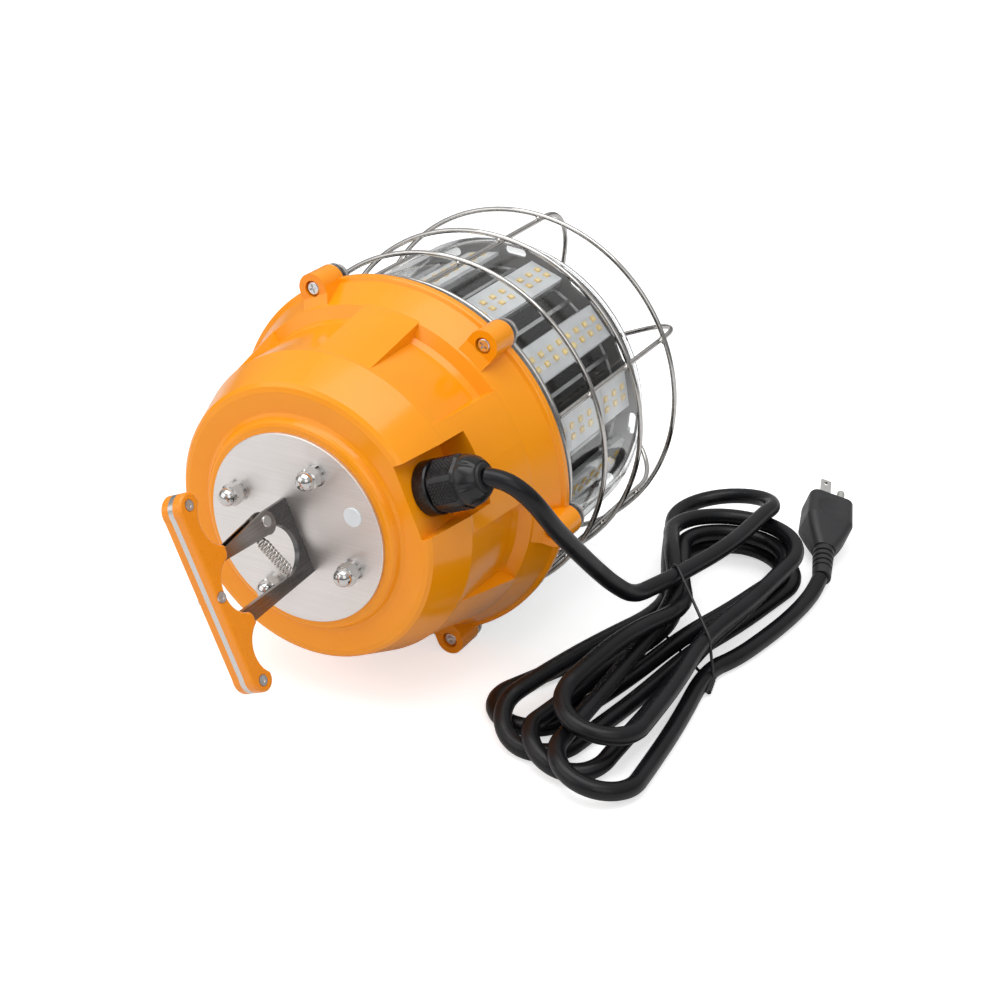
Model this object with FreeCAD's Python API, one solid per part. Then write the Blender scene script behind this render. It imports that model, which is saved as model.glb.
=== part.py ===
"""Caged LED work light lying on its side, with a spring-gated carrying hook and a coiled mains lead.

The lamp's own axis runs along +Y, from the hook to the end of the wire cage, and +Z is up.
The origin is on the floor, under the middle of the lamp.  Lengths are millimetres.
Angles round the lamp's axis are counted from straight up towards +X.
"""
import FreeCAD, Part
import math
import os

Vec = FreeCAD.Vector

# ---------------------------------------------------------------- driving dimensions
FLANGE_R = 100.0            # rim of the orange housing, which sets the lamp's height above the floor
AXIS_Z = FLANGE_R           # the rim rests on the floor
PLATE_Y = -98.7             # row Y of the mount plate's outer face
WALL = 3.0                  # housing wall

PLATE_R = 49.85
PLATE_T = 2.0
STUD_CIRCLE_R = 35.5
STUD_PHASE = 22.5
STUD_R = 3.0

BLOCK_PHASE = 7.0           # the six blocks, and the six cage wires, stand at 7 + 60 k degrees
BOSS_PHASE = 37.0           # the six screw bosses stand between them
BOSS_CIRCLE_R = 99.8
BOSS_R = 8.0
BLOCK_HALF_WIDTH = 15.6
GLAND_BLOCK_HALF_WIDTH = 28.0
GLAND_ANGLE = 67.0
GLAND_Y = 25.0              # distance of the gland behind the plate face
POCKET_FLOOR = 66.0         # distance of the gland's flat seat from the lamp's axis
POCKET_HALF_WIDTH = 19.0
POCKET_END = 45.0

HOUSING_END = 95.7          # rear face of the housing, measured from the plate face
GASKET_T = 1.5
LENS_FLANGE_T = 3.0
LENS_R = 88.0
LENS_WALL = 2.0
LENS_END = 215.0
LENS_CORNER = 7.0

BOARD_COUNT = 12
BOARD_PHASE = 20.0
BOARD_W = 20.0
BOARD_T = 1.6
BOARD_R = 76.5              # distance of a board's back from the axis
BOARD_START = 104.0
BOARD_END = 208.5
CHIP_PITCH = 10.1
CHIP_ROWS = 10
CHIP_SIZE = (3.5, 2.8, 0.7)
CHIP_OFFSET = 2.95

CAGE_R = 98.6               # centreline of the three large rings
WIRE_R = 1.4
RING_PLACES = (139.4, 183.2, 228.2)
CAGE_END = 268.0
CAGE_BEND_R = 32.0
END_RING_R = 45.0

CORD_R = 4.6
ARC_SHARE = 0.45            # part of a straight run that each bend may use up


# ---------------------------------------------------------------- frames
LAMP = FreeCAD.Placement(FreeCAD.Matrix(0, 1, 0, 0,
                                        0, 0, 1, PLATE_Y,
                                        1, 0, 0, AXIS_Z,
                                        0, 0, 0, 1))


def lamp(shape):
    """Put a shape modelled about the local Z axis, from the plate face, on the lamp's axis."""
    moved = shape.copy()
    moved.Placement = LAMP.multiply(moved.Placement)
    return moved


def polar(radius, angle, z=0.0):
    a = math.radians(angle)
    return Vec(radius * math.cos(a), radius * math.sin(a), z)


def turned(shape, angle):
    copy = shape.copy()
    copy.rotate(Vec(0, 0, 0), Vec(0, 0, 1), angle)
    return copy


def around(shape, count, phase):
    """Copies of a shape modelled at angle 0, turned to evenly spaced places."""
    return [turned(shape, phase + 360.0 * i / count) for i in range(count)]


def box(x0, x1, y0, y1, z0, z1):
    return Part.makeBox(x1 - x0, y1 - y0, z1 - z0, Vec(x0, y0, z0))


def cyl(radius, z0, z1, centre=None):
    base = Vec(0, 0, z0) if centre is None else Vec(centre.x, centre.y, z0)
    return Part.makeCylinder(radius, z1 - z0, base)


def tube(outer, inner, z0, z1, centre=None):
    return cyl(outer, z0, z1, centre).cut(cyl(inner, z0 - 1, z1 + 1, centre))


def revolve(points):
    """Solid of revolution about Z from an outline of (radius, z) points."""
    corners = [Vec(r, 0, z) for r, z in points]
    outline = Part.makePolygon(corners + [corners[0]])
    return Part.Face(outline).revolve(Vec(0, 0, 0), Vec(0, 0, 1), 360)


def hexagon(across_flats, z0, z1, centre=None):
    centre = centre or Vec(0, 0, 0)
    corner_r = across_flats / math.sqrt(3)
    corners = [centre + polar(corner_r, 60.0 * k + 30.0, z0) for k in range(7)]
    return Part.Face(Part.makePolygon(corners)).extrude(Vec(0, 0, z1 - z0))


def fuse(shapes):
    joined = shapes[0].multiFuse(shapes[1:]) if len(shapes) > 1 else shapes[0]
    return joined.removeSplitter()


def export(node, shape):
    shape.exportStep("parts/" + node + ".step")


# ---------------------------------------------------------------- housing
def housing_profile():
    """Outline of the plain cone and bell, without blocks or bosses."""
    return [(0, PLATE_T), (52.6, PLATE_T), (54.2, 2.5), (55.2, 3.7), (56.2, 5.8), (58.0, 6.6),
            (68.6, 5.8), (71.2, 6.3), (73.0, 7.9), (74.0, 10.5), (81.5, 30.0), (82.4, 68.0),
            (84.0, 71.5), (90.3, 74.5), (97.6, 91.2), (99.4, 91.9), (FLANGE_R, 92.6),
            (FLANGE_R, HOUSING_END), (0, HOUSING_END)]


def cavity_profile():
    floor_z = PLATE_T + WALL
    return [(0, floor_z), (50.5, floor_z), (53.0, 9.3), (56.0, 9.9), (68.6, 9.0), (70.4, 11.0),
            (78.4, 31.0), (79.3, 70.0), (81.5, 74.5), (88.0, 77.8), (90.0, 84.0),
            (90.0, HOUSING_END + 1), (0, HOUSING_END + 1)]


def sector(points, half_width):
    """The part of a solid of revolution within a straight-sided band at angle 0."""
    return revolve(points).common(box(0, 120, -half_width, half_width, -5, 120))


def block_outer(half_width):
    return sector([(70, 28.0), (80.7, 28.0), (90.6, 74.0), (91.5, 80.0), (70, 80.0)], half_width)


def block_inner(half_width):
    return sector([(66, 33.5), (79.0, 33.5), (87.2, 74.0), (87.2, 81.0), (66, 81.0)], half_width - WALL)


BOSS_START = 78.5
BOSS_ROOT_R = 86.0
BOSS_BORE_R = 2.2
BOSS_RECESS_R = 4.3
SCREW_SEAT = 81.5           # bottom of the recess that takes the screw's head


def boss_outer():
    lobe = cyl(BOSS_R, BOSS_START, HOUSING_END, polar(BOSS_CIRCLE_R, 0))
    root = box(BOSS_ROOT_R, BOSS_CIRCLE_R, -BOSS_R, BOSS_R, BOSS_START, HOUSING_END)
    nose = Part.makePolygon([Vec(84, 0, 72), Vec(96, 0, 78.6), Vec(84, 0, 78.6), Vec(84, 0, 72)])
    fairing = Part.Face(nose).extrude(Vec(0, 2 * BOSS_R, 0))
    fairing.translate(Vec(0, -BOSS_R, 0))
    return fuse([lobe, root, fairing])


def boss_hole():
    centre = polar(BOSS_CIRCLE_R, 0)
    return fuse([cyl(BOSS_BORE_R, 70, 100, centre), cyl(BOSS_RECESS_R, 70, SCREW_SEAT, centre)])


def pocket(margin):
    pocket_box = box(POCKET_FLOOR - margin, 130, -POCKET_HALF_WIDTH - margin, POCKET_HALF_WIDTH + margin,
                     -5, POCKET_END + margin)
    return turned(pocket_box, GLAND_ANGLE)


def gland_axis_place(shape):
    """Stand a shape modelled along Z from the lamp's axis on the gland's radial line."""
    placed = shape.copy()
    placed.rotate(Vec(0, 0, 0), Vec(0, 1, 0), 90)
    placed.rotate(Vec(0, 0, 0), Vec(0, 0, 1), GLAND_ANGLE)
    placed.translate(Vec(0, 0, GLAND_Y))
    return placed


GLAND_THREAD_R = 10.0


def top_housing():
    block_angles = [BLOCK_PHASE + 60 * k for k in range(6)]
    plain_angles = [a for a in block_angles if a != GLAND_ANGLE]
    outer = [revolve(housing_profile())]
    outer += [turned(block_outer(BLOCK_HALF_WIDTH), a) for a in plain_angles]
    outer += [turned(block_outer(GLAND_BLOCK_HALF_WIDTH), GLAND_ANGLE)]
    outer += around(boss_outer(), 6, BOSS_PHASE)
    inner = [revolve(cavity_profile())]
    inner += [turned(block_inner(BLOCK_HALF_WIDTH), a) for a in plain_angles]
    inner += [turned(block_inner(GLAND_BLOCK_HALF_WIDTH), GLAND_ANGLE)]
    cavity = fuse(inner).cut(pocket(WALL))
    shell = fuse(outer).cut(pocket(0.0)).cut(cavity)
    holes = around(boss_hole(), 6, BOSS_PHASE)
    holes += around(cyl(STUD_R + 0.1, 0, 12, polar(STUD_CIRCLE_R, 0)), 4, STUD_PHASE)
    holes += [gland_axis_place(cyl(GLAND_THREAD_R, 55, 80))]
    holes += [cyl(BREATHER_STEM_R + 0.1, 0, 12, breather_centre())]
    return shell.cut(holes[0].multiFuse(holes[1:]))


# ---------------------------------------------------------------- mount plate and its fasteners
BREATHER_CIRCLE_R = 36.9
BREATHER_STEM_R = 3.0
BREATHER_CAP_R = 4.9
BREATHER_CAP_T = 0.9
STUD_TIP = -11.5
STUD_HEAD_AF = 10.0
WASHER_R = 6.0
WASHER_T = 1.2
LOCK_R = 5.1
LOCK_T = 1.6
NUT_AF = 10.0
NUT_HEX = 5.6
NUT_DOME_R = 4.7
TENON_PLACES = (-12.0, 9.0)     # hook-plane height of each tenon's lower side
TENON_W = 8.0
HOOK_T = 3.0


def breather_centre():
    return polar(BREATHER_CIRCLE_R, GLAND_ANGLE - 1.0)


def mount_plate():
    disc = cyl(PLATE_R, 0, PLATE_T)
    rim = [e for e in disc.Edges if abs(e.BoundBox.ZMax) < 0.01 and e.Length > 100]
    disc = disc.makeChamfer(0.35, rim)
    holes = around(cyl(STUD_R + 0.15, -1, 3, polar(STUD_CIRCLE_R, 0)), 4, STUD_PHASE)
    holes += [cyl(BREATHER_STEM_R + 0.1, -1, 3, breather_centre())]
    for low in TENON_PLACES:
        slot = box(low - 0.1, low + TENON_W + 0.1, -HOOK_T / 2 - 0.1, HOOK_T / 2 + 0.1, -1, 3)
        holes.append(turned(slot, HOOK_ANGLE))
    return disc.cut(holes[0].multiFuse(holes[1:]))


def breather_plug():
    cap = cyl(BREATHER_CAP_R, -BREATHER_CAP_T, 0, breather_centre())
    edge = [e for e in cap.Edges if abs(e.BoundBox.ZMax + BREATHER_CAP_T) < 0.01 and e.Length > 10]
    cap = cap.makeChamfer(0.3, edge)
    return fuse([cap, cyl(BREATHER_STEM_R, -0.2, PLATE_T + WALL + 1.5, breather_centre())])


def plate_studs():
    centre = polar(STUD_CIRCLE_R, 0)
    stud = fuse([cyl(STUD_R, STUD_TIP, 6, centre), hexagon(STUD_HEAD_AF, PLATE_T + WALL, 9.0, centre)])
    return around(stud, 4, STUD_PHASE)


def flat_washers():
    return around(tube(WASHER_R, STUD_R + 0.2, -WASHER_T, 0, polar(STUD_CIRCLE_R, 0)), 4, STUD_PHASE)


def lock_washers():
    centre = polar(STUD_CIRCLE_R, 0)
    top = -WASHER_T - LOCK_T
    ring = tube(LOCK_R, STUD_R + 0.1, top, -WASHER_T, centre)
    split = box(centre.x + 2, centre.x + 7, -0.5, 0.5, top - 1, 0)
    return around(ring.cut(split), 4, STUD_PHASE)


def acorn_nuts():
    centre = polar(STUD_CIRCLE_R, 0)
    seat = -WASHER_T - LOCK_T
    rim = seat - NUT_HEX
    nut = hexagon(NUT_AF, rim, seat, centre)
    corners = revolve([(0, rim), (NUT_AF * 0.49, rim), (NUT_AF * 0.58, rim + 1.0),
                       (NUT_AF * 0.58, seat - 1.0), (NUT_AF * 0.49, seat), (0, seat)])
    corners.translate(centre)
    dome = Part.makeSphere(NUT_DOME_R, Vec(centre.x, centre.y, rim - 0.6))
    collar = cyl(NUT_DOME_R, rim - 0.6, rim, centre)
    body = fuse([nut.common(corners), dome.cut(cyl(8, rim - 0.6, 0, centre)), collar])
    return around(body.cut(cyl(STUD_R + 0.05, STUD_TIP - 0.1, 0, centre)), 4, STUD_PHASE)


# ---------------------------------------------------------------- hook
HOOK_ANGLE = 157.0          # the hook's plane holds the lamp's axis and this direction
HOOK_SHIFT = 4.4            # the hook's own middle line is this far off the lamp's axis
THROAT_R = 12.8
THROAT_OUT = 17.0
BASE_TOP = -16.8
BASE_BOTTOM = 22.5
PIVOT = (20.0, -12.6)
PRONG_R = 4.2
ARM_END_BOTTOM = 25.2
HANDLE_OUT = 72.0
HANDLE_BUMP = 54.4
GRIP_T = 5.0
GRIP_RIVETS = ((65.5, 44.3), (69.0, 0.0), (65.5, -44.3))
RIVET_BORE_R = 1.95
RIVET_R = 1.9
RIVET_HEAD_R = 2.6
RIVET_RECESS_R = 2.9
RIVET_RECESS = 0.7
ARM_END = 59.0
GATE_PIN_R = 2.0


def hook(shape):
    """Put a shape modelled in hook axes (outwards, down the plane, sideways) on the lamp."""
    a = math.radians(HOOK_ANGLE)
    axes = FreeCAD.Matrix(0, math.sin(a), -math.cos(a), 0,
                          -1, 0, 0, PLATE_Y,
                          0, math.cos(a), math.sin(a), AXIS_Z,
                          0, 0, 0, 1)
    moved = shape.copy()
    moved.Placement = FreeCAD.Placement(axes).multiply(moved.Placement)
    return moved


def arc(start, middle, end):
    return Part.Arc(Vec(*start, 0), Vec(*middle, 0), Vec(*end, 0)).toShape()


def line(start, end):
    return Part.LineSegment(Vec(*start, 0), Vec(*end, 0)).toShape()


def plate_solid(edges, low, high):
    face = Part.Face(Part.Wire(Part.sortEdges(edges)[0]))
    face.translate(Vec(0, 0, low))
    return face.extrude(Vec(0, 0, high - low))


def handle_outline():
    """Half of the grip's outline, mirrored about the hook's middle line."""
    half = [((HANDLE_OUT, 0), None, (HANDLE_OUT, 40)),
            ((HANDLE_OUT, 40), (70.6, 46.9), (65.0, 50.2)),
            ((65.0, 50.2), (60.2, 48.2), (58.8, 43.0)),
            ((58.8, 43.0), (63.2, 33.0), (56.2, 20.8)),
            ((56.2, 20.8), (HANDLE_BUMP, 17.0), (56.2, 13.5)),
            ((56.2, 13.5), (62.9, 9.0), (65.8, 0))]
    edges = []
    for side in (1, -1):
        for start, middle, end in half:
            points = [p and (p[0], HOOK_SHIFT + side * p[1]) for p in (start, middle, end)]
            edges.append(line(points[0], points[2]) if middle is None else arc(*points))
    return edges


def grip_rivet_holes(radius, low, high):
    return [cyl(radius, low, high, Vec(out, HOOK_SHIFT + t, 0)) for out, t in GRIP_RIVETS]


def hook_plate():
    half_t = HOOK_T / 2
    px, py = PIVOT
    throat_low = HOOK_SHIFT - THROAT_R
    throat_high = HOOK_SHIFT + THROAT_R
    edges = [line((0, BASE_TOP), (px, BASE_TOP)),
             arc((px, BASE_TOP), (px + PRONG_R, py), (px, py + PRONG_R)),
             line((px, py + PRONG_R), (THROAT_OUT, throat_low)),
             arc((THROAT_OUT, throat_low), (THROAT_OUT - THROAT_R, HOOK_SHIFT), (THROAT_OUT, throat_high)),
             line((THROAT_OUT, throat_high), (ARM_END, throat_high)),
             line((ARM_END, throat_high), (ARM_END, ARM_END_BOTTOM)),
             line((ARM_END, ARM_END_BOTTOM), (0, BASE_BOTTOM)),
             line((0, BASE_BOTTOM), (0, BASE_TOP))]
    body = plate_solid(edges, -half_t, half_t)
    core = plate_solid(handle_outline(), -half_t, half_t)
    tenons = [box(-PLATE_T, 1, low, low + TENON_W, -half_t, half_t) for low in TENON_PLACES]
    joined = fuse([body, core] + tenons)
    holes = grip_rivet_holes(RIVET_BORE_R, -5, 5)
    holes.append(cyl(GATE_PIN_R + 0.05, -5, 5, Vec(px, py, 0)))
    return joined.cut(holes[0].multiFuse(holes[1:]))


def grip_scale():
    """One moulded scale on the sideways-positive side of the core."""
    low = HOOK_T / 2
    high = low + GRIP_T
    scale = plate_solid(handle_outline(), low, high)
    outer_edges = [e for e in scale.Edges if e.BoundBox.ZMin > high - 0.01]
    scale = scale.makeFillet(1.5, outer_edges)
    holes = grip_rivet_holes(RIVET_BORE_R, 0, 9) + grip_rivet_holes(RIVET_RECESS_R, high - RIVET_RECESS, 9)
    return scale.cut(holes[0].multiFuse(holes[1:]))


def mirrored(shape):
    return shape.mirror(Vec(0, 0, 0), Vec(0, 0, 1))


def grip_rivets():
    face = HOOK_T / 2 + GRIP_T
    rivets = []
    for out, t in GRIP_RIVETS:
        centre = Vec(out, HOOK_SHIFT + t, 0)
        low = face - RIVET_RECESS
        head = cyl(RIVET_HEAD_R, low, face + 0.1, centre).cut(cyl(1.2, face - 0.2, face + 1, centre))
        rivets.append(fuse([cyl(RIVET_R, -low, low + 0.1, centre), head, mirrored(head)]))
    return rivets


# ---------------------------------------------------------------- gate of the hook
GATE_INNER = 1.8
GATE_OUTER = 3.0
GATE_TIP = 53.7
GATE_TONGUE = 55.6


def gate_wall(low, high):
    px, py = PIVOT
    lobe = 6.2
    edges = [arc((px, py - 5.0), (px - lobe, py), (px + 2.0, py + lobe)),
             line((px + 2.0, py + lobe), (GATE_TIP, -7.9)),
             line((GATE_TIP, -7.9), (GATE_TIP - 0.5, -12.9)),
             line((GATE_TIP - 0.5, -12.9), (px, py - 5.0))]
    return plate_solid(edges, low, high)


def hook_gate():
    px, py = PIVOT
    walls = [gate_wall(GATE_INNER, GATE_OUTER), gate_wall(-GATE_OUTER, -GATE_INNER)]
    edge_slope = (-7.9 - (py + 6.2)) / (GATE_TIP - (px + 2.0))
    start = px + 5.5
    start_h = py + 6.2 + edge_slope * (start - (px + 2.0))
    tip_h = -7.9 + edge_slope * (GATE_TONGUE - GATE_TIP)
    web_t = 1.1
    edges = [line((start, start_h), (GATE_TONGUE, tip_h)),
             line((GATE_TONGUE, tip_h), (GATE_TONGUE, tip_h - web_t)),
             line((GATE_TONGUE, tip_h - web_t), (start, start_h - web_t)),
             line((start, start_h - web_t), (start, start_h))]
    web = plate_solid(edges, -GATE_OUTER, GATE_OUTER)
    return fuse(walls + [web]).cut(cyl(GATE_PIN_R + 0.02, -5, 5, Vec(px, py, 0)))


def gate_rivet():
    px, py = PIVOT
    centre = Vec(px, py, 0)
    pin = cyl(GATE_PIN_R, -GATE_OUTER - 0.1, GATE_OUTER + 0.1, centre)
    head = cyl(3.0, GATE_OUTER, GATE_OUTER + 0.9, centre)
    rim = [e for e in head.Edges if e.BoundBox.ZMin > GATE_OUTER + 0.8 and e.Length > 10]
    head = head.makeFillet(0.6, rim)
    return fuse([pin, head, mirrored(head)])


SPRING_GATE_END = (25.6, -5.3)
SPRING_HOOK_END = (15.6, 15.8)
SPRING_R = 2.3
SPRING_WIRE_R = 0.4
SPRING_TURNS = 12


def gate_spring():
    start = Vec(*SPRING_GATE_END, 0)
    end = Vec(*SPRING_HOOK_END, 0)
    length = start.distanceToPoint(end)
    helix = Part.makeHelix(length / SPRING_TURNS, length, SPRING_R)
    section = Part.Wire([Part.Circle(Vec(SPRING_R, 0, 0), Vec(0, 1, 0), SPRING_WIRE_R).toShape()])
    coil = Part.Wire(helix.Edges).makePipeShell([section], True, True)
    turn = FreeCAD.Rotation(Vec(0, 0, 1), end.sub(start))
    coil.Placement = FreeCAD.Placement(start, turn)
    return coil


# ---------------------------------------------------------------- cable gland
GLAND_TIP = 100.0
GLAND_BORE_R = 5.2
GLAND_COLLAR_R = 10.9
GLAND_COLLAR_LOW = 73.4
GLAND_NUT_LOW = 74.0
GLAND_NUT_AF = 25.6
GLAND_NUT_HEX_END = 90.0
LOCKNUT_AF = 26.0
SEAL_R = 7.4
SEAL_LOW = 79.0


def gland_body():
    flange = revolve([(GLAND_BORE_R, POCKET_FLOOR), (13.2, POCKET_FLOOR), (13.6, POCKET_FLOOR + 0.6),
                      (13.6, GLAND_COLLAR_LOW - 0.8), (12.9, GLAND_COLLAR_LOW),
                      (GLAND_BORE_R, GLAND_COLLAR_LOW)])
    collar = tube(GLAND_COLLAR_R, GLAND_BORE_R, GLAND_COLLAR_LOW, 78.0)
    thread = tube(GLAND_THREAD_R - 0.1, GLAND_BORE_R, 56.0, POCKET_FLOOR + 0.5)
    return gland_axis_place(fuse([flange, collar, thread]))


def gland_locknut():
    ring = hexagon(LOCKNUT_AF, 59.8, 63.0).cut(cyl(GLAND_THREAD_R, 50, 70))
    return gland_axis_place(ring)


def gland_nut():
    low = GLAND_NUT_LOW
    high = GLAND_NUT_HEX_END
    chamfer = revolve([(0, low), (12.6, low), (13.6, low + 1.2), (13.6, high - 1.5), (12.8, high), (0, high)])
    skirt = hexagon(GLAND_NUT_AF, low, high).common(chamfer)
    dome = revolve([(0, high), (12.6, high), (12.2, 93.5), (10.6, 96.9), (8.6, 98.8), (7.6, 99.2), (0, 99.2)])
    bore = fuse([cyl(GLAND_COLLAR_R + 0.1, 70, SEAL_LOW), cyl(SEAL_R + 0.1, 78, 120)])
    return gland_axis_place(fuse([skirt, dome]).cut(bore))


def gland_seal():
    return gland_axis_place(revolve([(CORD_R, SEAL_LOW), (SEAL_R, SEAL_LOW), (SEAL_R, GLAND_TIP - 1.0),
                                     (6.6, GLAND_TIP), (CORD_R, GLAND_TIP)]))


def cord_entry():
    """The lead inside the gland, from its face into the housing."""
    return gland_axis_place(cyl(CORD_R, 50.0, GLAND_TIP))


# ---------------------------------------------------------------- light engine
ENGINE_BASE = HOUSING_END + GASKET_T
ENGINE_BASE_R = 97.0
ENGINE_BASE_T = 1.5


def housing_gasket():
    ring = tube(98.0, 90.5, HOUSING_END, HOUSING_END + GASKET_T)
    notch = around(cyl(4.0, 90, 100, polar(BOSS_CIRCLE_R, 0)), 6, BOSS_PHASE)
    return ring.cut(notch[0].multiFuse(notch[1:]))


def lens_drum():
    low = HOUSING_END + GASKET_T
    high = low + LENS_FLANGE_T
    corner = LENS_CORNER
    bend = LENS_END - corner
    tip = corner * 0.7071
    outer = revolve([(0, low), (98.6, low), (98.6, high), (LENS_R, high), (LENS_R, bend),
                     (LENS_R - corner + tip, bend + tip), (LENS_R - corner, LENS_END), (0, LENS_END)])
    inner_r = LENS_R - LENS_WALL
    inner = revolve([(0, low - 1), (inner_r, low - 1), (inner_r, bend),
                     (inner_r - corner + tip, bend + tip - LENS_WALL),
                     (inner_r - corner, LENS_END - LENS_WALL), (0, LENS_END - LENS_WALL)])
    lugs = around(cyl(BOSS_R - 0.6, low, high, polar(BOSS_CIRCLE_R, 0)), 6, BOSS_PHASE)
    holes = around(cyl(BOSS_BORE_R, 90, 110, polar(BOSS_CIRCLE_R, 0)), 6, BOSS_PHASE)
    recess = cyl(ENGINE_BASE_R + 0.3, low - 1, low + ENGINE_BASE_T)
    return fuse([outer] + lugs).cut(inner).cut(recess).cut(holes[0].multiFuse(holes[1:]))


def engine_base():
    """Round plate clamped under the lens flange, which carries the heat sink."""
    return tube(ENGINE_BASE_R, 12.0, ENGINE_BASE, ENGINE_BASE + ENGINE_BASE_T)


HUB_R = 46.0
HUB_BORE_R = 43.0
ARM_HALF_T = 1.5
FIN_R = 71.0
FIN_HALF_T = 1.1
BOARD_SEAT_T = 3.0
BOARD_SEAT_LIP = 0.6
END_PLATE_T = 2.0
END_RIB_R = 70.0
END_RIB_T = 0.8
END_PLATE_R = 83.6
SLOT_CIRCLE_R = 80.6
SLOT_HALF_W = 2.2
SLOT_HALF_L = 4.4


def heat_sink():
    """Extruded body: a hub with twelve T-shaped arms that carry the boards, and a fin in each gap."""
    low = ENGINE_BASE + ENGINE_BASE_T
    seat_half_w = BOARD_W / 2 + BOARD_SEAT_LIP
    arm = fuse([box(HUB_R - 2, BOARD_R - 2, -ARM_HALF_T, ARM_HALF_T, low, BOARD_END),
                box(BOARD_R - BOARD_SEAT_T, BOARD_R, -seat_half_w, seat_half_w, low, BOARD_END)])
    fin = box(HUB_R - 2, FIN_R, -FIN_HALF_T, FIN_HALF_T, low, BOARD_END)
    arms = around(arm, BOARD_COUNT, BOARD_PHASE)
    fins = around(fin, BOARD_COUNT, BOARD_PHASE + 180.0 / BOARD_COUNT)
    return fuse([tube(HUB_R, HUB_BORE_R, low, BOARD_END)] + arms + fins)


def end_plate():
    """Dark cover on the end of the heat sink, with a see-through slot between each two boards."""
    low = BOARD_END
    cut_half_w = BOARD_W / 2 + BOARD_SEAT_LIP + 0.2
    gap_phase = BOARD_PHASE + 180.0 / BOARD_COUNT
    disc = cyl(END_PLATE_R, low, low + END_PLATE_T)
    slot = fuse([box(SLOT_CIRCLE_R - SLOT_HALF_W, SLOT_CIRCLE_R + SLOT_HALF_W,
                     -SLOT_HALF_L, SLOT_HALF_L, low - 1, low + 3),
                 cyl(SLOT_HALF_W, low - 1, low + 3, Vec(SLOT_CIRCLE_R, SLOT_HALF_L, 0)),
                 cyl(SLOT_HALF_W, low - 1, low + 3, Vec(SLOT_CIRCLE_R, -SLOT_HALF_L, 0))])
    slots = around(slot, BOARD_COUNT, gap_phase)
    rib = tube(END_RIB_R + 0.5, END_RIB_R - 0.5, low - END_RIB_T, low)
    channel_cut = around(box(60, 90, -cut_half_w, cut_half_w, low - 2, low), BOARD_COUNT, BOARD_PHASE)
    fin_cut = around(box(60, 90, -FIN_HALF_T - 0.2, FIN_HALF_T + 0.2, low - 2, low), BOARD_COUNT, gap_phase)
    rib = rib.cut(channel_cut[0].multiFuse(channel_cut[1:] + fin_cut))
    return fuse([disc.cut(slots[0].multiFuse(slots[1:])), rib])


def led_board(index):
    board = box(BOARD_R, BOARD_R + BOARD_T, -BOARD_W / 2, BOARD_W / 2, BOARD_START, BOARD_END)
    return turned(board, BOARD_PHASE + 360.0 * index / BOARD_COUNT)


def led_chips():
    length, width, height = CHIP_SIZE
    top = BOARD_R + BOARD_T
    first = BOARD_END - 6.0 - (CHIP_ROWS - 1) * CHIP_PITCH
    chips = []
    for row in range(CHIP_ROWS):
        z = first + row * CHIP_PITCH
        for side in (-1, 1):
            y = side * CHIP_OFFSET
            chips.append(box(top, top + height, y - width / 2, y + width / 2, z - length / 2, z + length / 2))
    strip = Part.Compound(chips)
    return around(strip, BOARD_COUNT, BOARD_PHASE)


DRIVER_HALF_W = 32.0
DRIVER_HALF_L = 50.0
DRIVER_LOW = 58.0
DRIVER_HIGH = 90.0
BRACKET_HALF_W = 15.0
BRACKET_T = 2.0
BRACKET_REACH = 54.0
TERMINAL_DEPTH = 6.0
TERMINAL_HALF_L = 14.0
TERMINAL_LOW = 66.0
TERMINAL_HIGH = 82.0
TERMINAL_PITCH = 9.0


def driver_case():
    height = DRIVER_HIGH - DRIVER_LOW
    case = box(-DRIVER_HALF_W, DRIVER_HALF_W, -DRIVER_HALF_L, DRIVER_HALF_L, DRIVER_LOW, DRIVER_HIGH)
    return case.makeFillet(2.0, [e for e in case.Edges if abs(e.BoundBox.ZLength - height) < 0.01])


def driver_bracket():
    """Strap over the driver, with a foot at each end on the engine's base plate."""
    w = BRACKET_HALF_W
    inside = DRIVER_HALF_L
    legs = [box(-w, w, min(side * inside, side * BRACKET_REACH), max(side * inside, side * BRACKET_REACH),
                DRIVER_HIGH - 2.0, ENGINE_BASE) for side in (-1, 1)]
    strap = box(-w, w, -BRACKET_REACH, BRACKET_REACH, DRIVER_HIGH, DRIVER_HIGH + BRACKET_T)
    return fuse([strap] + legs).cut(box(-w - 5, w + 5, -inside - 0.05, inside + 0.05, 80, DRIVER_HIGH))


def terminal_block():
    face = -DRIVER_HALF_W - TERMINAL_DEPTH
    middle = (TERMINAL_LOW + TERMINAL_HIGH) / 2
    body = box(face, -DRIVER_HALF_W, -TERMINAL_HALF_L, TERMINAL_HALF_L, TERMINAL_LOW, TERMINAL_HIGH)
    screws = [Part.makeCylinder(1.8, 2, Vec(face - 1, k * TERMINAL_PITCH, middle), Vec(1, 0, 0))
              for k in (-1, 0, 1)]
    return body.cut(screws[0].multiFuse(screws[1:]))


# ---------------------------------------------------------------- wire cage
FOOT_LOW = HOUSING_END + GASKET_T + LENS_FLANGE_T
FOOT_T = 3.0
FOOT_R = 6.0
FOOT_INNER = 93.5
SCREW_R = 2.0
SCREW_HEAD_R = 3.6
SCREW_HEAD_T = 2.3
SCREW_CROSS = 2.2           # half the length of each arm of the driving cross
SCREW_CROSS_HALF_W = 0.45
SCREW_CROSS_DEPTH = 1.2
WIRE_CIRCLE_R = CAGE_R - 2 * WIRE_R
BASE_RING = FOOT_LOW + FOOT_T + WIRE_R


def ring(radius, z, wire_r=WIRE_R):
    return Part.makeTorus(radius, wire_r, Vec(0, 0, z), Vec(0, 0, 1))


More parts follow.
